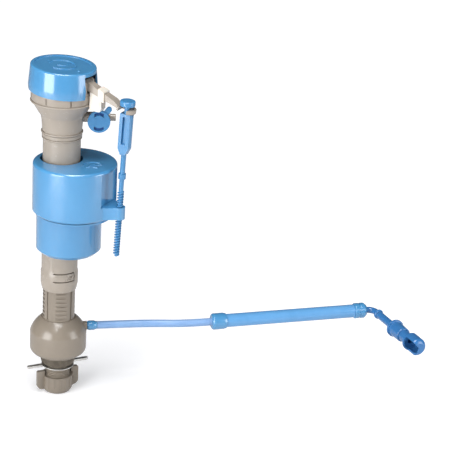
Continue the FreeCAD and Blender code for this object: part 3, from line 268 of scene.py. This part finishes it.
def abs_painted_shade_copy():
    """Darker copy of the riser's ABS for the base and lower tube, as painted shade: satin, with a fine
    spark-eroded grain.
    """
    return moulded("abs_painted_shade_copy", "#857b6e", TAUPE_MID, TAUPE_PALE, 0.24, 0.7, 0.006, 0.55, 0.03, 0.15)


def abs_painted_light_copy():
    """Paler copy of the same ABS for the riser and head, as painted light."""
    return moulded("abs_painted_light_copy", "#9f9589", BEIGE_MID, BEIGE_PALE, 0.25, 0.7, 0.006, 0.55, 0.04, 0.15)


def natural_nylon():
    """Unpigmented nylon: milky, with light passing a little way in."""
    return moulded("natural_nylon", "#e4d9cb", NYLON_MID, NYLON_PALE, 0.36, 0.5, 0.02, 0.5, 0.3)


def extruded_blue_vinyl():
    """Extruded vinyl hose: soft sheen with faint lines along the pull."""
    material, tree, output, place = blank("extruded_blue_vinyl")
    drift = noise(tree, place, 14.0, 3.0)
    colour = ramp(tree, drift.outputs["Fac"], [(0.32, srgb(HOSE_DEEP)), (0.7, srgb(HOSE_BLUE))])
    line = noise(tree, place, 1.4, 5.0, 0.65)
    gloss = add(tree, "ShaderNodeMapRange", {"Value": line.outputs["Fac"], "To Min": 0.26, "To Max": 0.44})
    shader = add(tree, "ShaderNodeBsdfPrincipled", {
        "Base Color": colour, "Roughness": gloss.outputs["Result"],
        "Normal": bumped(tree, line.outputs["Fac"], 0.3, 0.02), "IOR": 1.53,
        "Subsurface Weight": 0.2, "Subsurface Scale": 2.0 * MM, "Subsurface Radius": (0.5, 0.8, 1.0)})
    tree.links.new(shader.outputs["BSDF"], output.inputs["Surface"])
    return material


def moulded_rubber(name, dark, dusty, rough):
    """Cured rubber: matt, with pale bloom in patches and a fine pebble."""
    material, tree, output, place = blank(name)
    bloom = noise(tree, place, 5.0, 6.0, 0.65)
    colour = ramp(tree, bloom.outputs["Fac"], [(0.42, srgb(dark)), (0.72, srgb(dusty))])
    pebble = add(tree, "ShaderNodeTexVoronoi", {"Vector": place, "Scale": per_mm(0.5)})
    normal = bumped(tree, pebble.outputs["Distance"], 0.4, 0.03)
    shader = add(tree, "ShaderNodeBsdfPrincipled", {
        "Base Color": colour, "Roughness": rough, "Normal": normal, "IOR": 1.52})
    tree.links.new(shader.outputs["BSDF"], output.inputs["Surface"])
    return material


def plated_metal(name, bright, dull, rough, spangle_mm):
    """Thin plated or drawn metal: cloudy patches over fine rolling lines."""
    material, tree, output, place = blank(name)
    cloud = noise(tree, place, spangle_mm, 5.0)
    colour = ramp(tree, cloud.outputs["Fac"], [(0.35, srgb(dull)), (0.65, srgb(bright))])
    gloss = add(tree, "ShaderNodeMapRange", {"Value": cloud.outputs["Fac"],
                                             "To Min": rough + 0.12, "To Max": rough - 0.06})
    stretched = add(tree, "ShaderNodeMapping", {"Vector": place, "Scale": (1.0, 9.0, 1.0)})
    rolled = noise(tree, stretched.outputs["Vector"], 1.6, 3.0)
    shader = add(tree, "ShaderNodeBsdfPrincipled", {
        "Base Color": colour, "Metallic": 1.0, "Roughness": gloss.outputs["Result"],
        "Normal": bumped(tree, rolled.outputs["Fac"], 0.3, 0.02)})
    tree.links.new(shader.outputs["BSDF"], output.inputs["Surface"])
    return material


def painted_floor():
    """Matt studio floor with a painted glow that brightens away from the valve like a lit sweep: full glow
    for camera rays, a faint glow for the rest.
    """
    material, tree, output, place = blank("studio_floor_painted_glow")
    reach = add(tree, "ShaderNodeVectorMath", {0: place}, operation="LENGTH")
    sweep = add(tree, "ShaderNodeMapRange", {"Value": reach.outputs["Value"],
                                             "From Min": 0.1, "From Max": 1.3,
                                             "To Min": 0.44, "To Max": 0.85})
    # Painted glow: camera rays see the sweep, and other rays see a faint glow.
    seen = add(tree, "ShaderNodeLightPath").outputs["Is Camera Ray"]
    glow = add(tree, "ShaderNodeMix", {"Factor": seen, "A": 0.06, "B": sweep.outputs["Result"]})
    shader = add(tree, "ShaderNodeBsdfPrincipled", {"Base Color": srgb(FLOOR_WHITE), "Roughness": 0.9,
                                                    "Emission Color": srgb("#ffffff"),
                                                    "Emission Strength": glow.outputs["Result"]})
    tree.links.new(shader.outputs["BSDF"], output.inputs["Surface"])
    return material


GLOSS_BLUE = gloss_blue_polypropylene()
SATIN_BLUE = satin_blue_acetal()
DEEP_BLUE = deep_blue_polypropylene()
# Dark blue of painted shade for the pads on the dial's recess floors.
RECESS_SHADE_BLUE = moulded("blue_acetal_painted_recess_shade", "#0f3f78", "#134684", "#174c8c", 0.4, 0.6, 0.008, 0.4)
TUBE_GLOSS = drawn_blue_tube()
SHADED_TAUPE = abs_painted_shade_copy()
LIT_BEIGE = abs_painted_light_copy()
NYLON = natural_nylon()
VINYL = extruded_blue_vinyl()
BLACK_RUBBER = moulded_rubber("black_nitrile_rubber", RUBBER_BLACK, "#26262a", 0.62)
BROWN_RUBBER = moulded_rubber("brown_gasket_rubber", GASKET_BROWN, GASKET_DUST, 0.6)
ZINC_PLATE = plated_metal("zinc_plated_steel", ZINC, ZINC_DULL, 0.42, 4.0)
PIN_STEEL = plated_metal("drawn_stainless_steel", STEEL, "#a5a6a8", 0.3, 3.0)


# ---- mesh helpers ----

def finish_piece(name, bm, material, body, stands_for=(), sharp=32.0):
    """Turns a bmesh into a smooth-shaded piece that rides on a body."""
    mesh = bpy.data.meshes.new(name)
    bm.to_mesh(mesh)
    bm.free()
    for label in ("custom_normal", "sharp_face", "sharp_edge"):
        stale = mesh.attributes.get(label)
        if stale is not None:
            mesh.attributes.remove(stale)
    mesh.shade_smooth()
    mesh.set_sharp_from_angle(angle=math.radians(sharp))
    mesh.materials.clear()
    mesh.materials.append(material)
    piece = bpy.data.objects.new(name, mesh)
    bpy.context.scene.collection.objects.link(piece)
    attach(piece, body)
    if stands_for:
        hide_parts(*stands_for)
    return piece


def round_edges(piece, width_mm, segments=2, limit=33.0):
    """Bevels the sharp edges, as a mould leaves them."""
    bevel = piece.modifiers.new("eased_edges", "BEVEL")
    bevel.width = width_mm * MM
    bevel.segments = segments
    bevel.limit_method = "ANGLE"
    bevel.angle_limit = math.radians(limit)
    bevel.use_clamp_overlap = True
    bevel.harden_normals = True
    return piece


def eased(node, material, width_mm, segments=2):
    """A copy of a CAD piece with its sharp edges rounded."""
    source = NODES[node]
    bm = bmesh.new()
    bm.from_mesh(source.data)
    bmesh.ops.remove_doubles(bm, verts=bm.verts, dist=WELD_GAP)
    bmesh.ops.dissolve_limit(bm, angle_limit=FLAT_ANGLE, verts=bm.verts, edges=bm.edges,
                             delimit={"NORMAL"})
    piece = finish_piece("fair_" + node, bm, material, source["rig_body"], (node,))
    return round_edges(piece, width_mm, segments)


def finish_node(node, material):
    """Gives a CAD piece that stays as it is its own material."""
    mesh = NODES[node].data
    mesh.materials.clear()
    mesh.materials.append(material)


# ---- hose ----

def cleaning_hose():
    """The hose on one smooth line from the nipple to the jet tube's collar."""
    curve = bpy.data.curves.new("vinyl_cleaning_hose", "CURVE")
    curve.dimensions = "3D"
    curve.bevel_depth = HOSE_R
    curve.bevel_resolution = 8
    curve.resolution_u = 24
    curve.use_fill_caps = True
    spline = curve.splines.new("NURBS")
    spline.points.add(len(HOSE_ROUTE) - 1)
    for point, (x, y) in zip(spline.points, HOSE_ROUTE):
        point.co = (x * MM, y * MM, JET_Z, 1.0)
    spline.order_u = 3
    spline.use_endpoint_u = True
    curve.materials.append(VINYL)
    hose = bpy.data.objects.new("vinyl_cleaning_hose", curve)
    bpy.context.scene.collection.objects.link(hose)
    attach(hose, "base")
    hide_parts("cleaning_hose")
    return hose


# ---- rod thread ----

def rod_place():
    """Matrix from a shape drawn about Z, with zero at the rod joint's point, to the leaning rod."""
    turn = next(joint for joint in frame["record"]["behaviour"]["joints"] if joint["name"] == "rod_turn")
    lean = Vector((0, 0, 1)).rotation_difference(Vector(turn["axis"])).to_matrix().to_4x4()
    return Matrix.Translation(Vector(turn["pos_m"])) @ lean


def rod_reach(z_mm):
    """Distance along the rod of a level, from the rod joint's point."""
    place = rod_place()
    return (z_mm * MM - place.translation.z) / place.col[2].z


def coil(bm, root, crest, pitch, low, high, foot_width, top_width):
    """Helical ridge about Z, swept with spin, closed at both ends."""
    turns = (high - low) / pitch
    steps = int(turns * THREAD_STEPS)
    half_foot = foot_width / 2
    half_top = top_width / 2
    corners = [(root, low - half_foot), (crest, low - half_top), (crest, low + half_top),
               (root, low + half_foot)]
    verts = [bm.verts.new((r, 0, z)) for r, z in corners]
    face = bm.faces.new(verts)
    bmesh.ops.spin(bm, geom=[face] + list(face.edges) + verts, cent=(0, 0, 0), axis=(0, 0, 1),
                   dvec=(0, 0, (high - low) / steps), angle=turns * math.tau, steps=steps)


def adjusting_rod():
    """Grip and stem from the CAD piece, with a real helical thread in place of its rings."""
    source = NODES["adjusting_rod"]
    place = rod_place()
    low = rod_reach(THREAD_FOOT_Z)
    high = rod_reach(THREAD_TOP_Z)
    bm = bmesh.new()
    bm.from_mesh(source.data)
    bmesh.ops.remove_doubles(bm, verts=bm.verts, dist=WELD_GAP)
    bmesh.ops.transform(bm, matrix=place.inverted(), verts=bm.verts)
    cut = bmesh.ops.bisect_plane(bm, geom=bm.verts[:] + bm.edges[:] + bm.faces[:],
                                 plane_co=(0, 0, high + 0.6 * MM), plane_no=(0, 0, 1), clear_inner=True)
    rim = [item for item in cut["geom_cut"] if isinstance(item, bmesh.types.BMEdge)]
    bmesh.ops.holes_fill(bm, edges=rim, sides=0)
    bmesh.ops.dissolve_limit(bm, angle_limit=FLAT_ANGLE, verts=bm.verts, edges=bm.edges,
                             delimit={"NORMAL"})
    core = bmesh.ops.create_cone(bm, cap_ends=True, segments=32, radius1=THREAD_ROOT_R * 0.86,
                                 radius2=THREAD_ROOT_R, depth=high - low + 3 * MM)
    bmesh.ops.translate(bm, verts=core["verts"], vec=(0, 0, (high + low) / 2 + 1.5 * MM))
    coil(bm, THREAD_ROOT_R * 0.8, THREAD_R, THREAD_PITCH, low + 1.4 * MM, high, 2.0 * MM, 0.7 * MM)
    bmesh.ops.transform(bm, matrix=place, verts=bm.verts)
    bmesh.ops.recalc_face_normals(bm, faces=bm.faces)
    piece = finish_piece("threaded_adjusting_rod", bm, SATIN_BLUE, "rod",
                         ("adjusting_rod",), 40.0)
    return round_edges(piece, 0.3)


# ---- raised marks, and painted shade in the dial's recesses ----

def cap_top_place():
    """Matrix on to the middle of the cap's sunk top, which falls towards the lever."""
    return Matrix.Translation((0, 0, CAP_DISH_Z)) @ Matrix.Rotation(CAP_TILT, 4, "Y")


def raise_face(bm, faces, height):
    """Extrudes flat faces upwards into a low pad."""
    grown = bmesh.ops.extrude_face_region(bm, geom=faces)
    lifted = [item for item in grown["geom"] if isinstance(item, bmesh.types.BMVert)]
    bmesh.ops.translate(bm, verts=lifted, vec=(0, 0, height))


def pad_outline(bm, points):
    """Flat face through (x, y) points in millimetres."""
    return bm.faces.new([bm.verts.new((x * MM, y * MM, -MARK_SINK)) for x, y in points])


def arc_band(bm, radius_mm, width_mm, start, sweep):
    """Flat curved band about the mark's middle, swept with spin."""
    a = math.radians(start)
    inner = (radius_mm - width_mm / 2) * MM
    outer = (radius_mm + width_mm / 2) * MM
    ends = [bm.verts.new((r * math.cos(a), r * math.sin(a), -MARK_SINK)) for r in (inner, outer)]
    edge = bm.edges.new(ends)
    bmesh.ops.spin(bm, geom=[edge] + ends, cent=(0, 0, 0), axis=(0, 0, 1),
                   angle=math.radians(sweep), steps=20)


def raised_mark(name, draw, height_mm, place, material, body):
    """Low moulded mark: flat shapes raised, set on a surface and softened."""
    bm = bmesh.new()
    draw(bm)
    bmesh.ops.recalc_face_normals(bm, faces=bm.faces)
    down = [face for face in bm.faces if face.normal.z < 0]
    bmesh.ops.reverse_faces(bm, faces=down)
    raise_face(bm, bm.faces[:], height_mm * MM)
    bmesh.ops.recalc_face_normals(bm, faces=bm.faces)
    bmesh.ops.transform(bm, matrix=place, verts=bm.verts)
    piece = finish_piece(name, bm, material, body)
    return round_edges(piece, 0.22)


def drop_and_turn(bm):
    """Water drop inside a curved arrow."""
    tip = 6.2
    belly = 3.1
    points = [(0.0, tip)]
    for step in range(1, 20):
        t = step / 20
        side = math.sin(math.pi * t) * (0.35 + 0.65 * t)
        points.append((belly * side * 1.25, tip - t * (tip + belly + 0.4)))
    points.append((0.0, -belly - 0.4))
    points += [(-x, y) for x, y in reversed(points[1:-1])]
    pad_outline(bm, points)
    arc_band(bm, 9.4, 1.5, -60, 255)
    pad_outline(bm, [(-6.0, -6.2), (-10.6, -5.8), (-8.4, -2.2)])


def level_arrows(bm):
    """Level bar between an arrow up and an arrow down."""
    pad_outline(bm, [(-8.0, -0.7), (8.0, -0.7), (8.0, 0.7), (-8.0, 0.7)])
    pad_outline(bm, [(-3.0, 2.4), (3.0, 2.4), (0.0, 6.2)])
    pad_outline(bm, [(3.0, -2.4), (-3.0, -2.4), (0.0, -6.2)])
    arc_band(bm, 10.2, 1.1, 25, 130)


def dial_shade_crescents(bm):
    """Two dark crescents of painted shade on the floors of the dial's curved recesses."""
    for start in (55, 235):
        arc_band(bm, RECESS_R, RECESS_WIDTH, start, 70)


def round_stud(name, radius_mm, height_mm, place, material, body):
    """Small domed stud."""
    bm = bmesh.new()
    bmesh.ops.create_uvsphere(bm, u_segments=24, v_segments=12, radius=radius_mm * MM)
    bmesh.ops.scale(bm, verts=bm.verts, vec=(1, 1, height_mm / radius_mm))
    bmesh.ops.transform(bm, matrix=place, verts=bm.verts)
    return finish_piece(name, bm, material, body, sharp=60.0)


def moulded_marks_and_recess_shade():
    face = Matrix(((0.866, 0.0, 0.5), (0.5, 0.0, -0.866), (0.0, 1.0, 0.0))).to_4x4()
    face.translation = DIAL_FACE
    # Dark pads of painted shade on the floors of the dial's recesses.
    raised_mark("dial_recess_painted_shade", dial_shade_crescents, 0.5, face, RECESS_SHADE_BLUE, "dial")
    top = cap_top_place()
    mark_place = top @ Matrix.Translation((-1.5 * MM, 0, 0)) @ Matrix.Rotation(math.radians(-35), 4, "Z")
    raised_mark("cap_drop_mark", drop_and_turn, 1.0, mark_place @ Matrix.Diagonal((1.35, 1.35, 1.0, 1.0)),
                GLOSS_BLUE, "cap")
    round_stud("cap_stud", 1.5, 0.7, top @ Matrix.Translation((19.0 * MM, -5.5 * MM, 0)), GLOSS_BLUE, "cap")
    float_top = Matrix.Translation((35.5 * MM, -3.0 * MM, FLOAT_TOP_Z * MM))
    float_top = float_top @ Matrix.Rotation(math.radians(62), 4, "Z")
    raised_mark("float_level_mark", level_arrows, 1.0, float_top, GLOSS_BLUE, "float")


# ---- rings round the tubes ----

def bead_ring(name, radius_mm, thick_mm, z_mm, material, body):
    """Rounded ring about the riser's axis, swept with spin."""
    bm = bmesh.new()
    bmesh.ops.create_circle(bm, segments=14, radius=thick_mm * MM, cap_ends=False)
    upright = Matrix.Rotation(math.radians(90), 3, "X")
    bmesh.ops.rotate(bm, verts=bm.verts, cent=(0, 0, 0), matrix=upright)
    bmesh.ops.translate(bm, verts=bm.verts, vec=(radius_mm * MM, 0, z_mm * MM))
    bmesh.ops.spin(bm, geom=bm.verts[:] + bm.edges[:], cent=(0, 0, 0), axis=(0, 0, 1),
                   angle=math.tau, steps=96, use_merge=True)
    bmesh.ops.remove_doubles(bm, verts=bm.verts, dist=0.001 * MM)
    bmesh.ops.recalc_face_normals(bm, faces=bm.faces)
    return finish_piece(name, bm, material, body, sharp=60.0)


def tube_rings():
    """Rounded rings on the neck, the head's band and the bowl's foot."""
    for name, radius_mm, thick_mm, z_mm, body in BEADS:
        # Rings on the base take the painted-shade copy of the ABS, the others the painted-light copy.
        bead_ring(name, radius_mm, thick_mm, z_mm, SHADED_TAUPE if body == "base" else LIT_BEIGE, body)


def latch_grip():
    """Slanted finger grips on the height latch."""
    bm = bmesh.new()
    for turn in LATCH_RIBS:
        a = math.radians(turn)
        out = Vector((math.cos(a), math.sin(a), 0.0))
        along = Vector((-math.sin(a), math.cos(a), 0.0))
        tilt = Matrix.Rotation(math.radians(LATCH_RIB_TILT), 3, out)
        place = Matrix((out, tilt @ along, tilt @ Vector((0, 0, 1)))).transposed().to_4x4()
        place.translation = out * LATCH_FACE_R + Vector((0, 0, LATCH_MIDDLE_Z))
        grown = bmesh.ops.create_cube(bm, size=1.0)
        bmesh.ops.scale(bm, verts=grown["verts"], vec=LATCH_RIB_SIZE)
        bmesh.ops.transform(bm, matrix=place, verts=grown["verts"])
    bmesh.ops.recalc_face_normals(bm, faces=bm.faces)
    return round_edges(finish_piece("latch_grip", bm, LIT_BEIGE, "riser"), 0.25)


# ---- stage, light and camera ----

def studio():
    """Pale floor, two soft windows in front, a small front light and a broad overhead light."""
    low = CAD_BOX[0][2]
    bm = bmesh.new()
    bmesh.ops.create_grid(bm, x_segments=1, y_segments=1, size=FLOOR_HALF)
    bmesh.ops.translate(bm, verts=bm.verts, vec=(0, 0, low - FLOOR_DROP))
    mesh = bpy.data.meshes.new("floor")
    bm.to_mesh(mesh)
    bm.free()
    mesh.materials.append(painted_floor())
    floor = bpy.data.objects.new("floor", mesh)
    bpy.context.scene.collection.objects.link(floor)
    studio_air()
    for lamp in LAMPS:
        soft_box(*lamp)


def studio_air():
    """Air that is brightest on the camera's side and dims overhead and behind the valve."""
    world = bpy.data.worlds.new("studio_air")
    world.use_nodes = True
    tree = world.node_tree
    way = add(tree, "ShaderNodeTexCoord").outputs["Generated"]
    parts = add(tree, "ShaderNodeSeparateXYZ", {"Vector": way})
    height = add(tree, "ShaderNodeMapRange", {"Value": parts.outputs["Z"], "From Min": 0.0, "From Max": 0.7,
                                              "To Min": 0.5, "To Max": 0.34})
    facing = add(tree, "ShaderNodeVectorMath", {0: way, 1: FRONT_WAY}, operation="DOT_PRODUCT")
    shade = add(tree, "ShaderNodeMapRange", {"Value": facing.outputs["Value"],
                                             "From Min": -0.5, "From Max": 0.95,
                                             "To Min": 0.1, "To Max": 1.1})
    air = add(tree, "ShaderNodeMath", {0: height.outputs["Result"], 1: shade.outputs["Result"]},
              operation="MULTIPLY")
    seen = add(tree, "ShaderNodeLightPath").outputs["Is Camera Ray"]
    strength = add(tree, "ShaderNodeMix", {"Factor": seen, "A": air.outputs["Value"], "B": STRAIGHT_SKY})
    sky = tree.nodes["Background"]
    sky.inputs["Color"].default_value = srgb("#f6f9ff")
    tree.links.new(strength.outputs["Result"], sky.inputs["Strength"])
    bpy.context.scene.world = world


def soft_box(name, azimuth, elevation, distance, size, watts):
    """Rectangular light that faces the valve's middle."""
    light = bpy.data.lights.new(name, "AREA")
    light.shape = "RECTANGLE"
    light.size = size[0]
    light.size_y = size[1]
    light.energy = watts
    lamp = bpy.data.objects.new(name, light)
    lamp.visible_camera = False
    bpy.context.scene.collection.objects.link(lamp)
    a = math.radians(azimuth)
    e = math.radians(elevation)
    back = Vector((math.sin(a) * math.cos(e), -math.cos(a) * math.cos(e), math.sin(e)))
    aim = Vector(LAMP_AIM)
    lamp.location = aim + back * distance
    lamp.rotation_euler = back.to_track_quat("Z", "Y").to_euler()


def camera():
    """Long lens from the front right, a little above, with a slight roll."""
    back = Vector((math.sin(VIEW_AZIMUTH) * math.cos(VIEW_ELEVATION),
                   -math.cos(VIEW_AZIMUTH) * math.cos(VIEW_ELEVATION), math.sin(VIEW_ELEVATION)))
    right = Vector((math.cos(VIEW_AZIMUTH), math.sin(VIEW_AZIMUTH), 0.0))
    up = back.cross(right)
    side = right * math.cos(VIEW_ROLL) + up * math.sin(VIEW_ROLL)
    top = up * math.cos(VIEW_ROLL) - right * math.sin(VIEW_ROLL)
    aim = Vector((VIEW_AIM_REACH * math.cos(VIEW_AZIMUTH), VIEW_AIM_REACH * math.sin(VIEW_AZIMUTH),
                  VIEW_AIM_HEIGHT))
    lens = bpy.data.cameras.new("view")
    lens.lens = LENS_MM
    lens.sensor_width = SENSOR_MM
    lens.sensor_fit = "HORIZONTAL"
    eye = bpy.data.objects.new("view", lens)
    bpy.context.scene.collection.objects.link(eye)
    place = aim + back * VIEW_DISTANCE
    turn = Matrix((side, top, back)).transposed().to_4x4()
    eye.matrix_world = Matrix.Translation(place) @ turn
    bpy.context.scene.camera = eye


# ---- build ----

camera()
studio()
cleaning_hose()

for node in ("head_cap", "float_cup", "float_base"):
    eased(node, GLOSS_BLUE, 0.9, 3)
for node in ("jet_collar_near", "jet_collar_far", "hose_nipple"):
    eased(node, GLOSS_BLUE, 0.5)
eased("jet_tube", TUBE_GLOSS, 0.3)
for node in ("elbow_barb", "nozzle_coupling", "jet_nozzle"):
    eased(node, DEEP_BLUE, 0.5)
for node in ("refill_dial", "rod_button"):
    eased(node, SATIN_BLUE, 0.35)
adjusting_rod()
moulded_marks_and_recess_shade()
tube_rings()
latch_grip()
# The base parts take the painted-shade copy of the ABS; the riser, head and lever take the painted-light
# copy.
for node in ("shank_base", "base_dome", "lower_tube", "lock_nut"):
    eased(node, SHADED_TAUPE, 0.35)
for node in ("riser_tube", "head_body", "refill_valve_body", "refill_nipple", "bonnet", "float_lever"):
    eased(node, LIT_BEIGE, 0.35)
eased("tip_hose", DEEP_BLUE, 0.3)
eased("lever_saddle", NYLON, 0.5)
eased("ear_washer", ZINC_PLATE, 0.3)
eased("shank_gasket", BROWN_RUBBER, 0.6)
finish_node("lever_pin", PIN_STEEL)
for node in ("diaphragm", "pilot_seal", "tube_o_ring"):
    finish_node(node, BLACK_RUBBER)
for node in ("seat_ring", "inlet_screen"):
    finish_node(node, NYLON)

bpy.context.scene.view_settings.view_transform = "Standard"
